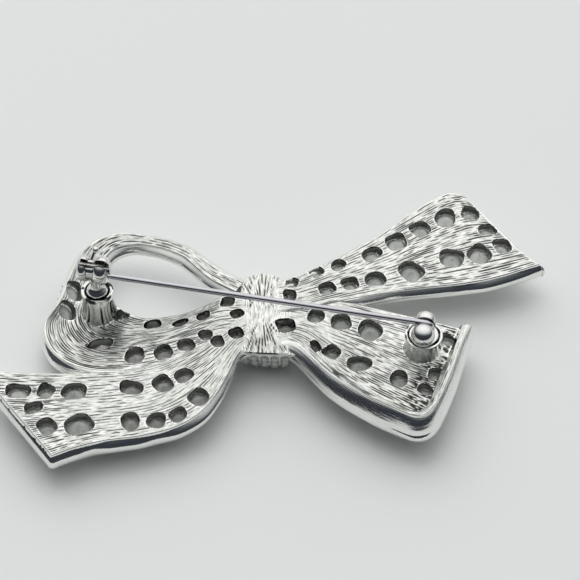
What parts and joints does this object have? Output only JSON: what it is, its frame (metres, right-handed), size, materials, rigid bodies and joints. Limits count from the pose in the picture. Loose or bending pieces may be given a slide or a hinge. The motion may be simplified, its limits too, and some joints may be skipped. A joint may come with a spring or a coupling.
{
  "type": "bow brooch",
  "caption": "Cast ribbon-bow brooch with open-backed clear crystals, a riveted pin stem and a turning safety catch.",
  "frame": {"origin": "middle of the flat front of the knot, on the plane the brooch rests on", "axes": "+Z out of the back, +X along the pin stem from the catch to the hinge, +Y towards the far tail"},
  "size_m": [0.0771, 0.0567, 0.0143],
  "materials": {
    "silver_plate": "bright silver-tone plate, finely engraved along each ribbon, polished rims",
    "polished_finding": "mirror polished plate",
    "pin_steel": "drawn polished steel wire",
    "crystal": "clear faceted crystal"
  },
  "bodies": {
    "root": {"bow_casting": "silver_plate", "catch_base": "polished_finding", "hinge_base": "polished_finding", "hinge_rivet": "pin_steel", "crystal_left_loop_1": "crystal", "crystal_left_loop_2": "crystal", "crystal_left_loop_3": "crystal", "crystal_left_loop_4": "crystal", "crystal_left_loop_5": "crystal", "crystal_left_loop_6": "crystal", "crystal_left_loop_7": "crystal", "crystal_left_loop_9": "crystal", "crystal_left_loop_10": "crystal", "crystal_left_loop_11": "crystal", "crystal_left_loop_12": "crystal", "crystal_left_loop_13": "crystal", "crystal_left_loop_14": "crystal", "crystal_left_loop_15": "crystal", "crystal_left_tail_1": "crystal", "crystal_left_tail_2": "crystal", "crystal_left_tail_3": "crystal", "crystal_left_tail_4": "crystal", "crystal_left_tail_5": "crystal", "crystal_left_tail_6": "crystal", "crystal_left_tail_7": "crystal", "crystal_left_tail_8": "crystal", "crystal_left_tail_9": "crystal", "crystal_left_tail_10": "crystal", "crystal_left_tail_11": "crystal", "crystal_left_tail_12": "crystal", "crystal_left_tail_13": "crystal", "crystal_right_tail_1": "crystal", "crystal_right_tail_2": "crystal", "crystal_right_tail_3": "crystal", "crystal_right_tail_4": "crystal", "crystal_right_tail_5": "crystal", "crystal_right_tail_6": "crystal", "crystal_right_tail_7": "crystal", "crystal_right_tail_8": "crystal", "crystal_right_tail_9": "crystal", "crystal_right_tail_10": "crystal", "crystal_right_tail_11": "crystal", "crystal_right_tail_12": "crystal", "crystal_right_tail_13": "crystal", "crystal_right_tail_14": "crystal", "crystal_right_tail_15": "crystal", "crystal_right_tail_16": "crystal", "crystal_right_tail_17": "crystal", "crystal_right_loop_1": "crystal", "crystal_right_loop_2": "crystal", "crystal_right_loop_3": "crystal", "crystal_right_loop_4": "crystal", "crystal_right_loop_6": "crystal", "crystal_right_loop_7": "crystal", "crystal_right_loop_8": "crystal", "crystal_right_loop_9": "crystal", "crystal_right_loop_10": "crystal", "crystal_right_loop_11": "crystal"},
    "pin": {"pin_stem": "pin_steel"},
    "rotator": {"catch_rotator": "polished_finding"}
  },
  "joints": [
    {"name": "pin_hinge", "type": "hinge", "parent": "root", "child": "pin", "pos_m": [0.0229, -0.0008, 0.00985], "axis": [0, 1, 0], "range_deg": [0, 100]},
    {"name": "catch_turn", "type": "hinge", "parent": "root", "child": "rotator", "pos_m": [-0.02415, -0.0004, 0.0118], "axis": [-1, 0, 0], "range_deg": [0, 90]}
  ]
}
